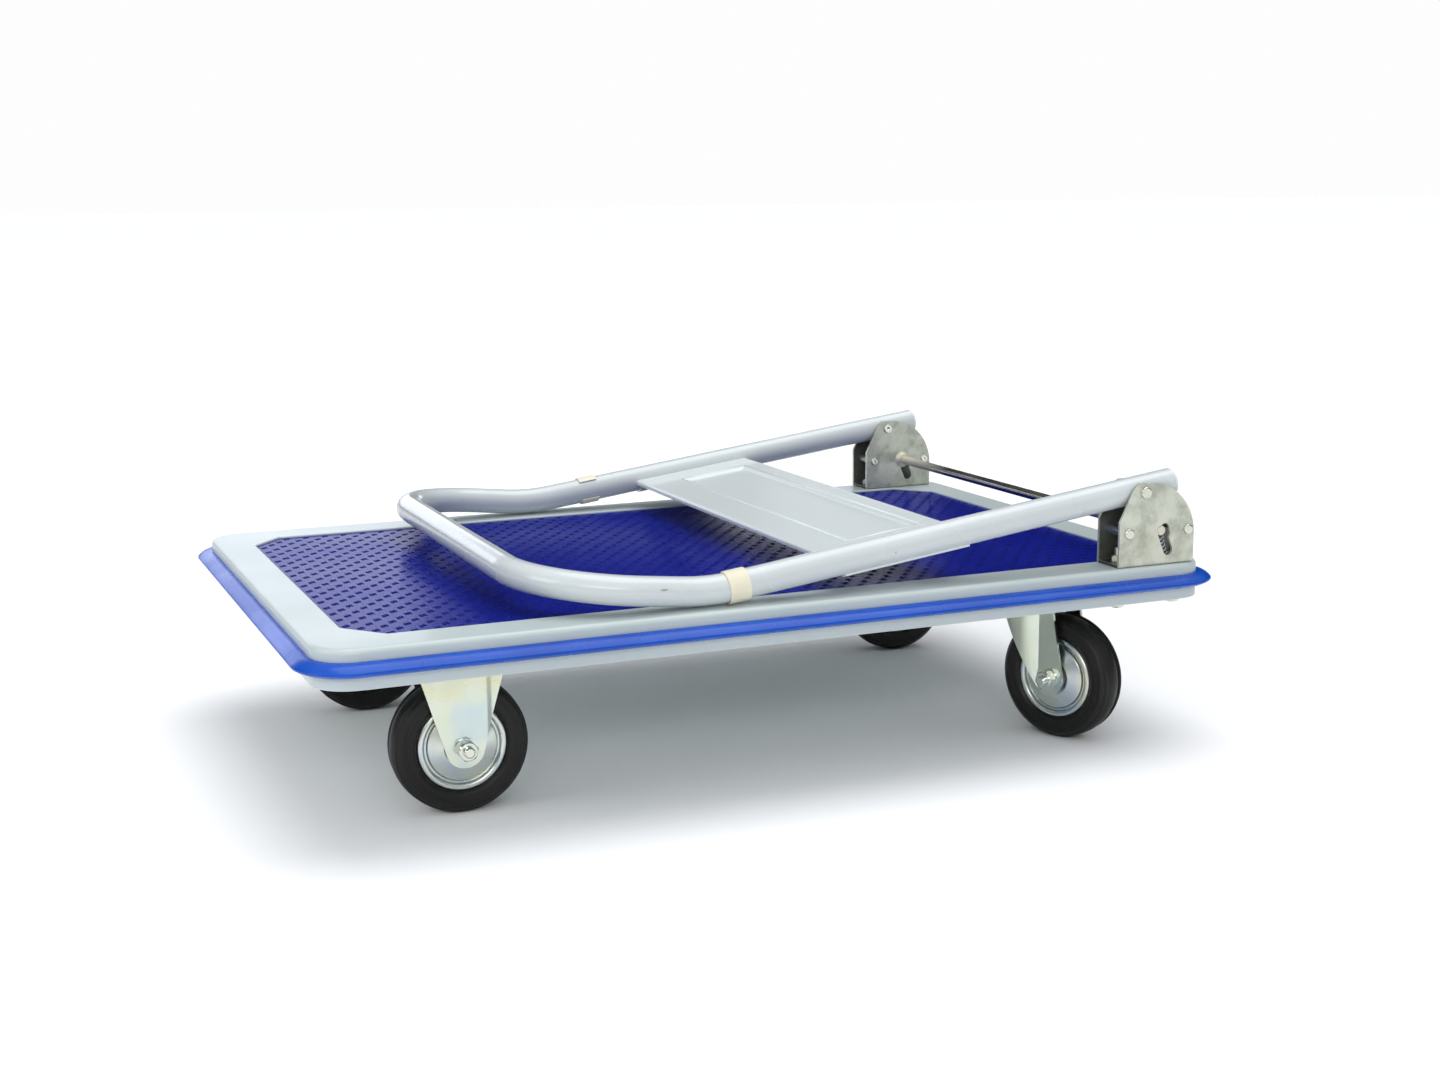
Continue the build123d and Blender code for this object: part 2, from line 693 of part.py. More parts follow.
def make_swivel_fork():
    """Swivel fork: a round crown with the lower ball race, and two legs raked back to the axle."""
    crown = crown_top - wheel_radius
    crown_sheet = 3.0
    inner = fork_inside
    outer = fork_inside + fork_sheet
    axis_x = -swivel_trail
    race_height = 4.0
    guard_height = 9.0
    fold_x, front_x, back_x = -12.0, -65.0, 20.0
    section = [
        Line((back_x, inner), (fold_x, inner)),
        ThreePointArc((fold_x, inner), (-36, inner + 6), (front_x, inner - 9)),
        Line((front_x, inner - 9), (front_x - 2.4, outer - 10.2)),
        ThreePointArc((front_x - 2.4, outer - 10.2), (-36.4, outer + 6), (fold_x, outer)),
        Line((fold_x, outer), (back_x, outer)),
        Line((back_x, outer), (back_x, inner)),
    ]
    view = tapered_view(16.0, crown, -63.5, 1.5)
    legs = fork_legs(make_face(section), view, -18, crown)
    hood = rod_along_z(33, axis_x, 0, crown - crown_sheet, crown)
    shoulder = block(-52, 6, -inner - 2, inner + 2, crown - crown_sheet, crown)
    race = rod_along_z(29, axis_x, 0, crown, crown + race_height)
    guard = rod_along_z(32, axis_x, 0, crown, crown + guard_height)
    guard -= rod_along_z(30, axis_x, 0, crown, crown + guard_height)
    groove = Pos(axis_x, 0, ball_height - wheel_radius) * Torus(race_radius, ball_radius + 0.1)
    hole = rod_along_z(kingpin_radius + hinge_clearance, axis_x, 0, crown - 10, crown + 10)
    return legs + hood + shoulder + race + guard - groove - hole


def make_swivel_plate():
    """Bolting plate of a swivel caster with the upper ball race pressed under it."""
    seat = mount_plane - plate_sheet
    plate = Pos(0, 0, (seat + mount_plane) / 2) * Box(plate_length, plate_width, plate_sheet)
    plate = fillet(plate.edges().filter_by(Axis.Z), plate_corner)
    plate += rod_along_z(28, 0, 0, seat - 4.5, seat)
    plate -= Pos(0, 0, ball_height) * Torus(race_radius, ball_radius + 0.1)
    plate -= rod_along_z(kingpin_radius + clearance, 0, 0, 0, 200)
    for dx in (-plate_bolt_x, plate_bolt_x):
        for dy in (-plate_bolt_y, plate_bolt_y):
            plate -= rod_along_z(plate_bolt_radius + hole_gap, dx, dy, seat - 1, mount_plane + 1)
    return plate


def make_balls():
    """Ring of bearing balls between the two races."""
    balls = []
    for index in range(ball_count):
        angle = radians(360 / ball_count * index)
        x = race_radius * cos(angle)
        y = race_radius * sin(angle)
        balls.append(Pos(x, y, ball_height) * Sphere(ball_radius))
    return group(balls)


def make_kingpin():
    """Rivet that holds the crown up against the balls."""
    under_crown = crown_top - 3.0
    pin = rod_along_z(kingpin_radius, 0, 0, under_crown - 2, mount_plane - 0.2)
    head = rod_along_z(10.0, 0, 0, under_crown - 3.2, under_crown - 0.3)
    head = chamfer(head.faces().sort_by(Axis.Z)[0].edges(), 1.0)
    return pin + head


def make_plate_bolts():
    """Sixteen bolts from below through the caster plates."""
    seat = mount_plane - plate_sheet
    bolts = []
    for x, y in plate_bolt_places():
        bolt = rod_along_z(plate_bolt_radius, x, y, seat, mount_plane + 12)
        bolts.append(bolt + Pos(x, y, seat) * Rot(180, 0, 0) * hexagon(bolt_flats, bolt_head_height))
    return group(bolts)


def make_plate_nuts():
    """Nuts on the plate bolts, inside the cross channels."""
    web = mount_plane + channel_sheet
    nuts = []
    for x, y in plate_bolt_places():
        hole = rod_along_z(plate_bolt_radius + clearance, x, y, web - 1, web + 10)
        nuts.append(Pos(x, y, web) * hexagon(bolt_flats, 6.5) - hole)
    return group(nuts)


parts["deck_pan"] = make_deck_pan()
parts["anti_slip_mat"] = make_mat()
parts["edge_bumper"] = make_bumper()
parts["caster_channels"] = make_caster_channels()
parts["deck_stiffeners"] = make_stiffeners()
parts["bracket_supports"] = make_bracket_supports()
for name, side in SIDES.items():
    parts[f"handle_bracket_{name}"] = make_bracket(side)
parts["bracket_bolts"] = make_bracket_bolts()
parts["bracket_nuts"] = make_bracket_nuts()
parts["pivot_pins"] = on_near_bracket(rivet(pivot_x, pivot_z, pin_radius, 5.8))
parts["stop_rivets"] = on_near_bracket(rivet(stop_x, stop_z, rivet_radius, 5.3))
parts["stop_spacers"] = on_near_bracket(spacer(stop_x, stop_z))
parts["anchor_rivets"] = on_near_bracket(rivet(anchor_x, anchor_z, rivet_radius, 5.0))
parts["anchor_spacers"] = on_near_bracket(spacer(anchor_x, anchor_z))
parts["release_springs"] = make_release_springs()

parts["handle_tube"] = make_handle_tube()
parts["handle_end_plugs"] = make_end_plugs()
parts["pivot_bushes"] = make_pivot_bushes()
parts["handle_panel"] = make_panel()
parts["handle_clips"] = make_clips()
parts["release_rod"] = make_release_rod()
parts["rod_collars"] = make_rod_collars()

parts["caster_plate_bolts"] = make_plate_bolts()
parts["caster_plate_nuts"] = make_plate_nuts()
swivel_places = [Pos(swivel_caster_x, side * caster_y, 0) for side in SIDES.values()]
parts["swivel_plates"] = group([place * make_swivel_plate() for place in swivel_places])
parts["swivel_balls"] = group([place * make_balls() for place in swivel_places])
parts["swivel_kingpins"] = group([place * make_kingpin() for place in swivel_places])

wheel_pieces = {"tyre": make_tyre(), "rim": make_rim(), "hub": make_hub(), "bearing": make_bearing()}
fork = make_fixed_fork()
swivel_fork = make_swivel_fork()
axle_pieces = {"axle_bolt": make_axle_bolt(), "axle_nut": make_axle_nut(), "axle_sleeve": make_sleeve()}
for name, side in SIDES.items():
    # The axle nuts face outwards, so the far casters are turned half round.
    outward = Rot(0, 0, 0 if side < 0 else 180)
    fixed_place = Pos(fixed_caster_x, side * caster_y, wheel_radius)
    parts[f"fixed_fork_{name}"] = fixed_place * fork
    for piece, solid in axle_pieces.items():
        parts[f"fixed_{piece}_{name}"] = fixed_place * outward * solid
    for piece, solid in wheel_pieces.items():
        parts[f"fixed_{piece}_{name}"] = fixed_place * solid

    angle = radians(swivel_angle[name])
    axle_x = swivel_caster_x + swivel_trail * cos(angle)
    axle_y = side * caster_y + swivel_trail * sin(angle)
    swivel_place = Pos(axle_x, axle_y, wheel_radius) * Rot(0, 0, swivel_angle[name])
    parts[f"swivel_fork_{name}"] = swivel_place * swivel_fork
    for piece, solid in axle_pieces.items():
        parts[f"swivel_{piece}_{name}"] = swivel_place * outward * solid
    for piece, solid in wheel_pieces.items():
        parts[f"swivel_{piece}_{name}"] = swivel_place * solid

os.makedirs("parts", exist_ok=True)
for name, solid in parts.items():
    export_step(solid, f"parts/{name}.step")
print(len(parts), "nodes written")
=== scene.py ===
import json
import math

import bpy
import bmesh
from mathutils import Matrix, Vector


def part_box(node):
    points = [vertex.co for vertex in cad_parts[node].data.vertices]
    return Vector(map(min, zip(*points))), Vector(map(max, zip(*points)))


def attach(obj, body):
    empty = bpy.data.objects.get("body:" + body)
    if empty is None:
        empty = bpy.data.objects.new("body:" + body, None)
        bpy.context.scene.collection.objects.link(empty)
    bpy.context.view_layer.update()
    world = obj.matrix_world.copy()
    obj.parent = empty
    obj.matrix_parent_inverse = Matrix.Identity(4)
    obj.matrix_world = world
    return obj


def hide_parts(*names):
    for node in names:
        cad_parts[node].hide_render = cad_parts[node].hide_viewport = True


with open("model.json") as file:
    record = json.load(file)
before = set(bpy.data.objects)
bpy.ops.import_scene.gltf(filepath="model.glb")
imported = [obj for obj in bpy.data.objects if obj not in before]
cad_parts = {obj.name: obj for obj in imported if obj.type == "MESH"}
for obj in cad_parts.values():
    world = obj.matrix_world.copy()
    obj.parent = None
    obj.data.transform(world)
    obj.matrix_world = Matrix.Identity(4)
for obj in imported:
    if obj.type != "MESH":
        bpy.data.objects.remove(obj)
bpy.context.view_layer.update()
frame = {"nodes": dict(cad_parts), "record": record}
nodes = frame["nodes"]
joints = {joint["name"]: joint for joint in frame["record"]["behaviour"]["joints"]}
scene = bpy.context.scene
scene.view_settings.view_transform = "Standard"


# Node graphs

class Graph:
    """A material's node tree, with short calls for the nodes used here."""

    def __init__(self, name):
        self.material = bpy.data.materials.new(name)
        self.material.use_nodes = True
        self.tree = self.material.node_tree
        self.shader = self.tree.nodes["Principled BSDF"]
        self.place = self.add("ShaderNodeTexCoord").outputs["Object"]

    def add(self, kind, **settings):
        node = self.tree.nodes.new(kind)
        for key, value in settings.items():
            setattr(node, key, value)
        return node

    def put(self, socket, value):
        """Links a socket to another, or sets its value."""
        if isinstance(value, bpy.types.NodeSocket):
            self.tree.links.new(value, socket)
        else:
            socket.default_value = value

    def math(self, operation, a, b=0.0):
        node = self.add("ShaderNodeMath", operation=operation)
        self.put(node.inputs[0], a)
        self.put(node.inputs[1], b)
        return node.outputs[0]

    def stretched(self, scale):
        """Coordinates scaled by three factors."""
        node = self.add("ShaderNodeMapping")
        self.put(node.inputs["Vector"], self.place)
        node.inputs["Scale"].default_value = scale
        return node.outputs[0]

    def noise(self, scale, detail=3.0, roughness=0.5, stretch=None):
        node = self.add("ShaderNodeTexNoise")
        self.put(node.inputs["Vector"], self.stretched(stretch) if stretch else self.place)
        node.inputs["Scale"].default_value = scale
        node.inputs["Detail"].default_value = detail
        node.inputs["Roughness"].default_value = roughness
        return node.outputs["Fac"]

    def cells(self, scale):
        """A random colour for each cell."""
        node = self.add("ShaderNodeTexVoronoi", feature="F1")
        self.put(node.inputs["Vector"], self.place)
        node.inputs["Scale"].default_value = scale
        return node.outputs["Color"]

    def span(self, value, low, high, to_low=0.0, to_high=1.0):
        """Maps a value's range to another, held at its ends."""
        node = self.add("ShaderNodeMapRange")
        self.put(node.inputs["Value"], value)
        node.inputs["From Min"].default_value = low
        node.inputs["From Max"].default_value = high
        node.inputs["To Min"].default_value = to_low
        node.inputs["To Max"].default_value = to_high
        return node.outputs[0]

    def mix(self, factor, a, b):
        node = self.add("ShaderNodeMix", data_type="RGBA")
        self.put(node.inputs[0], factor)
        self.put(node.inputs[6], rgba(a))
        self.put(node.inputs[7], rgba(b))
        return node.outputs[2]

    def axis(self, index):
        node = self.add("ShaderNodeSeparateXYZ")
        self.put(node.inputs[0], self.place)
        return node.outputs[index]

    def bump(self, height, distance, strength=1.0):
        node = self.add("ShaderNodeBump")
        self.put(node.inputs["Height"], height)
        node.inputs["Distance"].default_value = distance
        node.inputs["Strength"].default_value = strength
        old = self.shader.inputs["Normal"]
        if old.is_linked:
            self.put(node.inputs["Normal"], old.links[0].from_socket)
        self.put(old, node.outputs[0])

    def edges(self, radius):
        """About 1 where the surface turns sharply within a radius, 0 on flats."""
        bevel = self.add("ShaderNodeBevel", samples=6)
        bevel.inputs["Radius"].default_value = radius
        flat = self.add("ShaderNodeNewGeometry").outputs["Normal"]
        dot = self.add("ShaderNodeVectorMath", operation="DOT_PRODUCT")
        self.put(dot.inputs[0], bevel.outputs[0])
        self.put(dot.inputs[1], flat)
        return self.span(dot.outputs["Value"], 0.995, 0.90)

    def spot(self, place, size):
        """1 inside a small ellipsoid around a place, fading out at its edge."""
        away = self.add("ShaderNodeVectorMath", operation="SUBTRACT")
        self.put(away.inputs[0], self.place)
        away.inputs[1].default_value = place
        scaled = self.add("ShaderNodeVectorMath", operation="DIVIDE")
        self.put(scaled.inputs[0], away.outputs[0])
        scaled.inputs[1].default_value = size
        length = self.add("ShaderNodeVectorMath", operation="LENGTH")
        self.put(length.inputs[0], scaled.outputs[0])
        return self.span(length.outputs["Value"], 1.0, 0.55)

    def finish(self, colour, roughness, metallic=0.0):
        self.put(self.shader.inputs["Base Color"], rgba(colour))
        self.put(self.shader.inputs["Roughness"], roughness)
        self.put(self.shader.inputs["Metallic"], metallic)
        return self.material


def rgba(colour):
    """A colour given as three sRGB values of 0 to 255, or a socket as it is."""
    if isinstance(colour, bpy.types.NodeSocket):
        return colour
    linear = [((c / 255 + 0.055) / 1.055) ** 2.4 if c > 10 else c / 255 / 12.92 for c in colour]
    return (*linear, 1.0)


# Materials

def enamel(name, colour, shade, roughness, coat, chips=(), edge=0.25):
    """Stoved enamel on sheet or tube: orange peel, faint mottling, scuffs, dust and a painted highlight
    along sharp edges.
    """
    g = Graph(name)
    cloud = g.noise(7.0, 4.0)
    fleck = g.noise(900.0, 2.0)
    scuff = g.span(g.noise(26.0, 6.0, 0.7, (1.0, 4.0, 4.0)), 0.68, 0.74)
    tone = g.mix(g.span(cloud, 0.35, 0.65), colour, shade)
    tone = g.mix(g.math("MULTIPLY", scuff, 0.25), tone, [c * 0.8 for c in shade])
    tone = g.mix(g.span(fleck, 0.70, 0.80, 0.0, 0.25), tone, [c * 0.82 for c in shade])
    # Painted highlight: sharp edges are lightened towards near-white by the edge factor.
    tone = g.mix(g.math("MULTIPLY", g.edges(0.0014), edge), tone, (246, 250, 252))
    for place, size in chips:
        tone = g.mix(g.math("MULTIPLY", g.spot(place, size), 0.7), tone, (128, 118, 100))
    g.bump(g.noise(260.0, 2.0), orange_peel_depth)
    g.bump(g.noise(18.0, 1.0), sheet_wave_depth)
    rough = g.math("ADD", g.span(cloud, 0.3, 0.7, roughness - 0.04, roughness + 0.05),
                   g.math("MULTIPLY", scuff, 0.18))
    g.shader.inputs["Coat Weight"].default_value = coat
    g.shader.inputs["Coat Roughness"].default_value = 0.08
    return g.finish(tone, rough)


# Depths in metres, and crystals for each metre.
orange_peel_depth = 0.00005
sheet_wave_depth = 0.00012
crystal_scale = 95.0

# The brackets' middle across the cart, half their width, and the depths at which a cheek's inside begins,
# over which the painted shade inside the channel fades in.
bracket_low, bracket_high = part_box("handle_bracket_far")
bracket_middle = (bracket_low[1] + bracket_high[1]) / 2
bracket_half = (bracket_high[1] - bracket_low[1]) / 2
cheek_inside = (0.0022, 0.0034)

# The mat's pattern: its repeat along and across the cart, and numbers in parts of that repeat.
repeat_x, repeat_y = 0.0203, 0.0262
bar_offset = (0.085, 0.045)
bar_half_x = (0.085, 0.068)
bar_half_y = (0.17, 0.148)
line_half = (0.05, 0.02)
whole_repeats = 200.0


def galvanised(name, colours):
    """Zinc-coated steel sheet: soft crystals, stains, a painted highlight along sharp edges and painted
    shade inside the channel.
    """
    g = Graph(name)
    crystals = g.cells(crystal_scale)
    level = g.add("ShaderNodeSeparateColor")
    g.put(level.inputs[0], crystals)
    patch = g.noise(38.0, 5.0, 0.65)
    stain = g.noise(14.0, 3.0)
    base = g.mix(g.span(patch, 0.42, 0.62), colours[0], colours[1])
    base = g.mix(g.span(stain, 0.45, 0.70, 0.0, 0.55), base, colours[2])
    base = g.mix(g.math("MULTIPLY", level.outputs[0], 0.22), base, [min(255, c * 1.12) for c in colours[0]])
    # Painted shade: the inside of the channel, past the cheeks, is darkened almost to a dark green-grey.
    off_middle = g.math("ABSOLUTE", g.math("SUBTRACT", g.math("ABSOLUTE", g.axis(1)), bracket_middle))
    inside = g.span(off_middle, bracket_half - cheek_inside[0], bracket_half - cheek_inside[1])
    base = g.mix(g.math("MULTIPLY", inside, 0.94), base, (34, 41, 35))
    # Painted highlight: sharp edges are lightened towards near-white.
    base = g.mix(g.math("MULTIPLY", g.edges(0.0008), 0.55), base, (236, 238, 234))
    g.bump(g.noise(700.0, 3.0), 0.00004)
    g.bump(patch, 0.00012)
    return g.finish(base, g.span(patch, 0.3, 0.7, 0.36, 0.52), 0.45)


def plated(name, colour, tint, tint_two, roughness=0.27, metallic=0.9, reflection_ends=None):
    """Bright zinc plate with a passivation film in two tints, fine drawing lines, a painted highlight along
    sharp edges and, where asked, a painted reflection of the brackets towards the ends, which are also
    rougher and less metallic.
    """
    g = Graph(name)
    film = g.noise(22.0, 2.0, 0.4)
    other = g.noise(31.0, 2.0, 0.4, (1.0, 1.3, 0.7))
    grain = g.noise(420.0, 3.0)
    base = g.mix(g.span(film, 0.48, 0.62, 0.0, 0.6), colour, tint)
    base = g.mix(g.span(other, 0.52, 0.66, 0.0, 0.5), base, tint_two)
    base = g.mix(g.span(grain, 0.62, 0.75, 0.0, 0.35), base, [c * 0.72 for c in colour])
    # Painted highlight: sharp edges are lightened towards near-white.
    base = g.mix(g.math("MULTIPLY", g.edges(0.0007), 0.5), base, (245, 246, 245))
    g.bump(grain, 0.00002)
    g.bump(g.noise(60.0, 2.0), 0.00008)
    rough = g.span(film, 0.3, 0.7, roughness - 0.05, roughness + 0.1)
    if reflection_ends:
        # Painted reflection of the brackets: towards the ends the plating turns beige, and is also made
        # rougher and less metallic.
        bracket_reflection = g.span(g.math("ABSOLUTE", g.axis(1)), reflection_ends[0], reflection_ends[1])
        base = g.mix(bracket_reflection, base, (214, 211, 192))
        rough = g.math("ADD", rough, g.math("MULTIPLY", bracket_reflection, 0.25))
        metallic = g.span(bracket_reflection, 0.0, 1.0, metallic, 0.4)
    return g.finish(base, rough, metallic)


def moulded(name, colour, shade, roughness=0.45):
    """Moulded plastic with a fine grain, a little dust and a painted highlight along sharp edges."""
    g = Graph(name)
    cloud = g.noise(15.0, 4.0)
    base = g.mix(g.span(cloud, 0.35, 0.65), colour, shade)
    # Painted highlight: sharp edges are lightened.
    base = g.mix(g.math("MULTIPLY", g.edges(0.0006), 0.25), base, [min(255, c * 1.2 + 12) for c in colour])
    g.bump(g.noise(1200.0, 2.0), 0.00005)
    return g.finish(base, g.span(cloud, 0.3, 0.7, roughness - 0.05, roughness + 0.08))


def rubber(name):
    """Charcoal tyre rubber: dusty, with fine mould lines and a worn tread."""
    g = Graph(name)
    dust = g.noise(30.0, 6.0, 0.7)
    speck = g.noise(600.0, 3.0)
    base = g.mix(g.span(dust, 0.4, 0.72), (12, 12, 11), (21, 20, 18))
    base = g.mix(g.span(speck, 0.66, 0.78, 0.0, 0.3), base, (70, 68, 62))
    g.bump(speck, 0.00006)
    g.bump(g.noise(90.0, 3.0), 0.00015)
    g.shader.inputs["Specular IOR Level"].default_value = 0.35
    return g.finish(base, g.span(dust, 0.3, 0.7, 0.34, 0.55))


def vinyl_mat(name):
    """Navy mat embossed with staggered pairs of short bars between fine crossing lines."""
    g = Graph(name)
    x = g.math("DIVIDE", g.axis(0), repeat_x)
    y = g.math("DIVIDE", g.axis(1), repeat_y)

    def off_centre(value, shift):
        moved = g.math("ADD", value, shift + whole_repeats)
        return g.math("SUBTRACT", g.math("FRACT", moved), 0.5)

    def bar(u, v, centre_u, centre_v):
        """One bar of a pair, in parts of the pattern's period."""
        across = g.math("ABSOLUTE", g.math("SUBTRACT", u, centre_u))
        along = g.math("ABSOLUTE", g.math("SUBTRACT", v, centre_v))
        return g.math("MULTIPLY", g.span(across, *bar_half_x), g.span(along, *bar_half_y))

    marks = None
    for shift in (0.0, 0.5):
        u = off_centre(x, shift)
        v = off_centre(y, shift)
        for side in (-1, 1):
            one = bar(u, v, side * bar_offset[0], side * bar_offset[1])
            marks = one if marks is None else g.math("MAXIMUM", marks, one)
    lines = None
    for sign in (-1, 1):
        diagonal = g.math("ADD", x, g.math("MULTIPLY", y, sign))
        one = g.span(g.math("ABSOLUTE", off_centre(diagonal, 0.5)), *line_half)
        lines = one if lines is None else g.math("MAXIMUM", lines, one)
    cloud = g.noise(9.0, 4.0)
    dust = g.noise(500.0, 3.0)
    base = g.mix(g.span(cloud, 0.35, 0.68), (15, 25, 122), (19, 31, 133))
    base = g.mix(g.math("MULTIPLY", marks, 0.7), base, (8, 13, 92))
    base = g.mix(g.span(dust, 0.68, 0.80, 0.0, 0.15), base, (40, 50, 140))
    g.bump(g.noise(1500.0, 2.0), 0.00005)
    g.bump(lines, 0.00003, 0.4)
    g.bump(marks, 0.00025)
    rough = g.math("ADD", g.span(cloud, 0.3, 0.7, 0.16, 0.22), g.math("MULTIPLY", marks, 0.4))
    g.shader.inputs["Specular IOR Level"].default_value = 0.02
    return g.finish(base, rough)


def bumper_vinyl(name):
    """Soft blue vinyl strip with faint drag lines along it."""
    g = Graph(name)
    cloud = g.noise(12.0, 4.0)
    drag = g.noise(240.0, 3.0, 0.5, (0.06, 0.06, 1.0))
    base = g.mix(g.span(cloud, 0.35, 0.65), (6, 76, 184), (5, 68, 170))
    base = g.mix(g.span(drag, 0.62, 0.75, 0.0, 0.25), base, (34, 92, 206))
    g.bump(drag, 0.00008)
    g.bump(g.noise(900.0, 2.0), 0.00003)
    g.shader.inputs["Specular IOR Level"].default_value = 0.28
    return g.finish(base, g.span(cloud, 0.3, 0.7, 0.22, 0.32))


# The handle's panel: the sunken field's middle along the leg, its size, and the ribs around it.
leg_tilt = math.radians(7.55)
field_distance = 0.24765
field_size = (0.0757, 0.418)
panel_face = 0.001
rib_width = 0.0026
rib_height = 0.0008
rib_foot = 0.0004
rib_outset = 0.0012
rib_steps = 10

# Two chips in the paint of the near leg: a scuff by the grip and a fleck beside the panel.
leg_chips = [
    ((-0.134, -0.280, 0.2045), (0.0045, 0.004, 0.0012)),
    ((0.094, -0.2805, 0.2185), (0.001, 0.003, 0.0014)),
]

# Distances from the middle at which the painted reflection of the brackets on the release rod begins and is
# full; the plating is also rougher and less metallic there.
rod_reflection_ends = (0.13, 0.235)

finishes = {
    "white_enamel": enamel("white_enamel", (188, 199, 199), (183, 195, 196), 0.36, 0.12),
    "handle_enamel": enamel("handle_enamel", (203, 210, 212), (198, 205, 207), 0.26, 0.35, chips=leg_chips),
    # The panel's edges get a strong painted highlight (edge 0.95).
    "panel_enamel": enamel("panel_enamel", (216, 224, 225), (211, 219, 220), 0.30, 0.35, edge=0.95),
    "navy_vinyl": vinyl_mat("navy_vinyl"),
    "blue_bumper": bumper_vinyl("blue_bumper"),
    "galvanised_sheet": galvanised("galvanised_sheet", [(204, 208, 194), (163, 168, 154), (205, 202, 180)]),
    "zinc_fasteners": plated("zinc_fasteners", (212, 216, 206), (222, 216, 190), (196, 206, 210), 0.2, 1.0),
    "zinc_fork": plated("zinc_fork", (206, 214, 200), (214, 212, 176), (176, 198, 214), 0.2, 1.0),
    "rod_plating": plated("rod_plating", (136, 138, 141), (152, 147, 134), (112, 117, 124), 0.16, 1.0,
                          rod_reflection_ends),
    "spring_steel": plated("spring_steel", (156, 162, 168), (150, 156, 172), (168, 168, 164), 0.3),
    "bearing_steel": plated("bearing_steel", (168, 168, 166), (150, 148, 140), (172, 176, 180), 0.3),
    "rim_zinc": plated("rim_zinc", (206, 212, 208), (214, 214, 196), (178, 196, 222), 0.27, 1.0),
    "black_rubber": rubber("black_rubber"),
    "cream_clip": moulded("cream_clip", (232, 228, 206), (222, 216, 192)),
    "white_plastic": moulded("white_plastic", (224, 228, 230), (214, 219, 222), 0.42),
    "natural_nylon": moulded("natural_nylon", (222, 218, 204), (210, 206, 192), 0.4),
}

for part in frame["record"]["subparts"]:
    piece = nodes[part["node"]]
    for index in range(max(1, len(piece.data.materials))):
        if index < len(piece.material_slots):
            piece.material_slots[index].material = finishes[part["material_slot"]]
        else:
            piece.data.materials.append(finishes[part["material_slot"]])


# Wheels, turned on a lathe around their joints' axes

def arc(centre, radius, start, end, steps):
    """Points of radius and axial position along an arc, in degrees."""
    points = []
    for index in range(steps + 1):
        angle = math.radians(start + (end - start) * index / steps)
        points.append((centre[0] + radius * math.cos(angle), centre[1] + radius * math.sin(angle)))
    return points


def tyre_outline():
    """Half of the tyre's outline from the bead to the middle of the tread, in millimetres."""
    bead = [(39.7, 10.7), (41.5, 12.5), (41.5, 13.8)]
    flank = arc((47.2, 10.6), 6.2, 128, 90, 6)
    ribs = []
    for radius in (48.6, 50.4, 52.2, 54.0):
        ribs += [(radius, 16.95), (radius + 0.45, 17.2), (radius + 1.0, 17.2), (radius + 1.3, 16.95)]
    shoulder = arc((54.6, 12.2), 5.0, 86, 42, 7)
    groove = [(59.2, 14.7), (59.2, 14.0), (60.0, 13.5)]
    lip = arc((59.6, 11.9), 1.75, 60, 12, 4)
    second_groove = [(60.9, 11.5), (60.9, 11.0)]
    tread = arc((48.0, 0.0), 14.5, 44, 0, 9)
    tread = [(min(radius + (axial / 14.5) ** 2 * 0.6, 62.5), axial)
             for radius, axial in tread if axial < 10.5]
    return bead + flank + ribs + shoulder + groove + lip + second_groove + tread


def rim_outline():
    """One pressed rim half: a dished disc, a groove and a rolled outer ring, in millimetres."""
    disc = [(13.5, 18.5), (17.4, 18.5)]
    disc += arc((18.0, 17.2), 1.3, 90, 70, 3) + arc((30.6, 13.2), 1.3, 72, 10, 5)
    ring = [(32.4, 11.4), (33.4, 11.0), (34.6, 11.0)] + arc((37.9, 12.6), 3.4, 205, -10, 18)
    well = [(40.6, 12.0), (39.5, 10.9), (39.5, 0.05), (37.5, 0.05), (37.5, 9.0), (31.5, 9.0)]
    back = [(30.2, 12.6), (17.6, 16.4), (13.5, 16.4)]
    return disc + ring + well + back


def lathe(name, joint, outlines, segments=144):
    """Closed outlines of radius and axial position, turned around a wheel joint's axis."""
    middle = Vector(joint["pos_m"])
    axis = Vector(joint["axis"]).normalized()
    up = Vector((0, 0, 1))
    side = axis.cross(up)
    bm = bmesh.new()
    for outline in outlines:
        rings = []
        for step in range(segments):
            angle = 2 * math.pi * step / segments
            spoke = up * math.cos(angle) + side * math.sin(angle)
            ring = [bm.verts.new(middle + spoke * (r / 1000) + axis * (a / 1000)) for r, a in outline]
            rings.append(ring)
        for step in range(segments):
            here, there = rings[step], rings[(step + 1) % segments]
            for index in range(len(outline)):
                follow = (index + 1) % len(outline)
                bm.faces.new((here[index], here[follow], there[follow], there[index]))
    bmesh.ops.recalc_face_normals(bm, faces=bm.faces)
    for face in bm.faces:
        face.smooth = True
    for edge in bm.edges:
        edge.smooth = edge.calc_face_angle(0) < math.radians(38)
    mesh = bpy.data.meshes.new(name)
    bm.to_mesh(mesh)
    bm.free()
    piece = bpy.data.objects.new(name, mesh)
    scene.collection.objects.link(piece)
    return piece


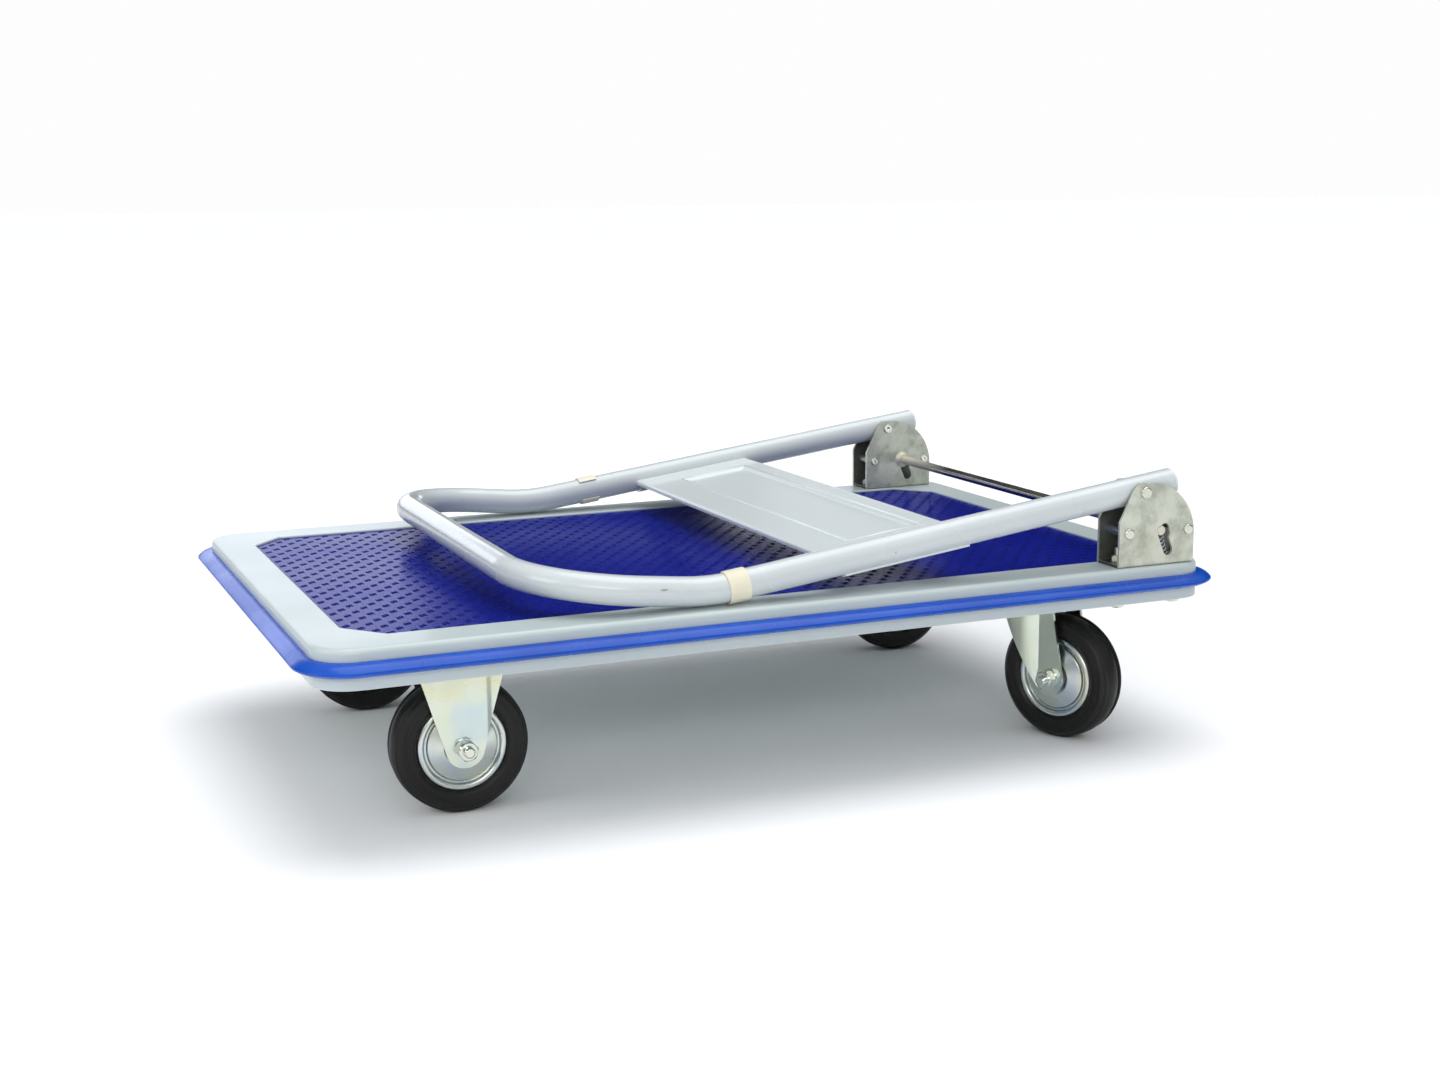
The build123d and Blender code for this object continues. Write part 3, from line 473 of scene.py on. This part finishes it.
def make_panel_ribs():
    """Rounded ribs that the press leaves along the sunken field of the handle's panel."""
    pivot = Vector(joints["handle_fold"]["pos_m"])
    along = Vector((math.cos(leg_tilt), 0, math.sin(leg_tilt)))
    across = Vector((0, 1, 0))
    normal = along.cross(across)
    centre = pivot - along * field_distance + normal * panel_face
    half_x = field_size[0] / 2 + rib_outset
    half_y = field_size[1] / 2 + rib_outset
    corners = [(half_x, half_y), (-half_x, half_y), (-half_x, -half_y), (half_x, -half_y)]
    bm = bmesh.new()
    for index, start in enumerate(corners):
        end = corners[(index + 1) % 4]
        a = centre + along * start[0] + across * start[1]
        b = centre + along * end[0] + across * end[1]
        side = (b - a).normalized().cross(normal)
        rings = []
        for point in (a, b):
            section = [(rib_width / 2 * math.cos(t), rib_height * math.sin(t))
                       for t in (math.pi * step / rib_steps for step in range(rib_steps + 1))]
            section += [(-rib_width / 2, -rib_foot), (rib_width / 2, -rib_foot)]
            rings.append([bm.verts.new(point + side * u + normal * v) for u, v in section])
        count = len(rings[0])
        for step in range(count):
            follow = (step + 1) % count
            bm.faces.new((rings[0][step], rings[0][follow], rings[1][follow], rings[1][step]))
        bm.faces.new(rings[0])
        bm.faces.new(reversed(rings[1]))
    bmesh.ops.recalc_face_normals(bm, faces=bm.faces)
    for face in bm.faces:
        face.smooth = len(face.verts) == 4
    mesh = bpy.data.meshes.new("panel_ribs")
    bm.to_mesh(mesh)
    bm.free()
    piece = bpy.data.objects.new("panel_ribs", mesh)
    scene.collection.objects.link(piece)
    mesh.materials.append(finishes["panel_enamel"])
    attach(piece, "handle")


def make_wheels():
    half_tyre = tyre_outline()
    tyre = half_tyre + [(r, -a) for r, a in reversed(half_tyre) if a > 0.01]
    rim = rim_outline()
    rim_pair = [rim, [(r, -a) for r, a in reversed(rim)]]
    for body in ("fixed_wheel_near", "fixed_wheel_far", "swivel_wheel_near", "swivel_wheel_far"):
        kind, _, side = body.split("_")
        joint = joints[body + "_spin"]
        shapes = {"tyre": ([tyre], "black_rubber"), "rim": (rim_pair, "rim_zinc")}
        for piece_kind, (outlines, slot) in shapes.items():
            piece = lathe(f"turned_{piece_kind}_{kind}_{side}", joint, outlines)
            piece.data.materials.append(finishes[slot])
            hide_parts(f"{kind}_{piece_kind}_{side}")
            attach(piece, body)


make_wheels()
make_panel_ribs()


# Floor, light and camera

def make_floor():
    """Plain pale paper floor."""
    mesh = bpy.data.meshes.new("studio_floor")
    reach = 30.0
    corners = [(-reach, -reach, 0), (reach, -reach, 0), (reach, reach, 0), (-reach, reach, 0)]
    mesh.from_pydata(corners, [], [(0, 1, 2, 3)])
    floor = bpy.data.objects.new("studio_floor", mesh)
    scene.collection.objects.link(floor)
    g = Graph("studio_paper")
    mesh.materials.append(g.finish((251, 251, 251), 0.9))
    g.shader.inputs["Specular IOR Level"].default_value = 0.0


def make_world():
    """Pale dome: white to the eye, and for light and reflections dim at the back and bright overhead."""
    world = bpy.data.worlds.new("studio")
    scene.world = world
    world.use_nodes = True
    tree = world.node_tree
    tree.nodes.clear()
    out = tree.nodes.new("ShaderNodeOutputWorld")
    place = tree.nodes.new("ShaderNodeTexCoord")
    split = tree.nodes.new("ShaderNodeSeparateXYZ")
    ramp = tree.nodes.new("ShaderNodeMapRange")
    tree.links.new(place.outputs["Generated"], split.inputs[0])
    lean = tree.nodes.new("ShaderNodeMath")
    lean.operation = "MULTIPLY_ADD"
    lean.inputs[1].default_value = -0.25
    tree.links.new(split.outputs[1], lean.inputs[0])
    tree.links.new(split.outputs[2], lean.inputs[2])
    tree.links.new(lean.outputs[0], ramp.inputs["Value"])
    ramp.inputs["From Min"].default_value = 0.22
    ramp.inputs["From Max"].default_value = 0.75
    ramp.inputs["To Min"].default_value = 0.015
    ramp.inputs["To Max"].default_value = 0.85
    dome = tree.nodes.new("ShaderNodeBackground")
    dome.inputs["Color"].default_value = (0.96, 0.98, 1.0, 1)
    tree.links.new(ramp.outputs[0], dome.inputs["Strength"])
    seen = tree.nodes.new("ShaderNodeBackground")
    seen.inputs["Color"].default_value = (0.985, 0.985, 0.985, 1)
    seen.inputs["Strength"].default_value = 1.0
    path = tree.nodes.new("ShaderNodeLightPath")
    mix = tree.nodes.new("ShaderNodeMixShader")
    tree.links.new(path.outputs["Is Camera Ray"], mix.inputs[0])
    tree.links.new(dome.outputs[0], mix.inputs[1])
    tree.links.new(seen.outputs[0], mix.inputs[2])
    tree.links.new(mix.outputs[0], out.inputs["Surface"])


def make_softbox(name, place, target, width, height, watts, colour=(1, 1, 1)):
    data = bpy.data.lights.new(name, "AREA")
    data.shape = "RECTANGLE"
    data.size = width
    data.size_y = height
    data.energy = watts
    data.color = colour
    light = bpy.data.objects.new(name, data)
    scene.collection.objects.link(light)
    light.location = place
    light.rotation_euler = (Vector(target) - Vector(place)).to_track_quat("-Z", "Y").to_euler()


def make_overhead(strength):
    """A broad, even light from above, the same over the whole floor."""
    data = bpy.data.lights.new("overhead", "SUN")
    data.energy = strength
    data.angle = math.radians(50)
    light = bpy.data.objects.new("overhead", data)
    scene.collection.objects.link(light)
    light.rotation_euler = Vector((-0.18, -0.10, -1)).to_track_quat("-Z", "Y").to_euler()


def make_camera():
    """Camera at the photograph's place: lens and shift are in parts of the picture's width."""
    place = (-0.7319, -1.8283, 0.5623)
    yaw, pitch, roll = 0.413, 0.191, -0.007
    picture_width, sensor_width = 1440, 36
    forward = Vector((math.sin(yaw) * math.cos(pitch), math.cos(yaw) * math.cos(pitch), -math.sin(pitch)))
    right = Vector((math.cos(yaw), -math.sin(yaw), 0))
    up = right.cross(forward)
    tilt_right = right * math.cos(roll) + up * math.sin(roll)
    tilt_up = up * math.cos(roll) - right * math.sin(roll)
    turn = Matrix((tilt_right, tilt_up, -forward)).transposed()
    data = bpy.data.cameras.new("photo_camera")
    data.sensor_width = sensor_width
    data.lens = 1943 / picture_width * sensor_width
    data.shift_x = -28.475 / picture_width
    data.shift_y = 7.612 / picture_width
    camera = bpy.data.objects.new("photo_camera", data)
    scene.collection.objects.link(camera)
    camera.matrix_world = Matrix.Translation(place) @ turn.to_4x4()
    scene.camera = camera


card_tint = (0.86, 0.89, 1.0)

make_floor()
make_world()
make_overhead(1.38)
make_softbox("front_strip", (-1.2, -3.0, 1.55), (0, 0, 0.2), 2.2, 0.4, 22)
make_softbox("left_box", (-2.6, -0.5, 1.25), (0, 0, 0.2), 1.5, 0.9, 15)
make_softbox("far_card", (1.41, 2.6, 0.63), (0.25, 0.2, 0.18), 0.5, 0.4, 1.6, card_tint)
make_softbox("lavender_card", (-0.46, 2.6, 0.78), (-0.46, 0, 0.18), 1.66, 0.66, 8.4, card_tint)
make_camera()
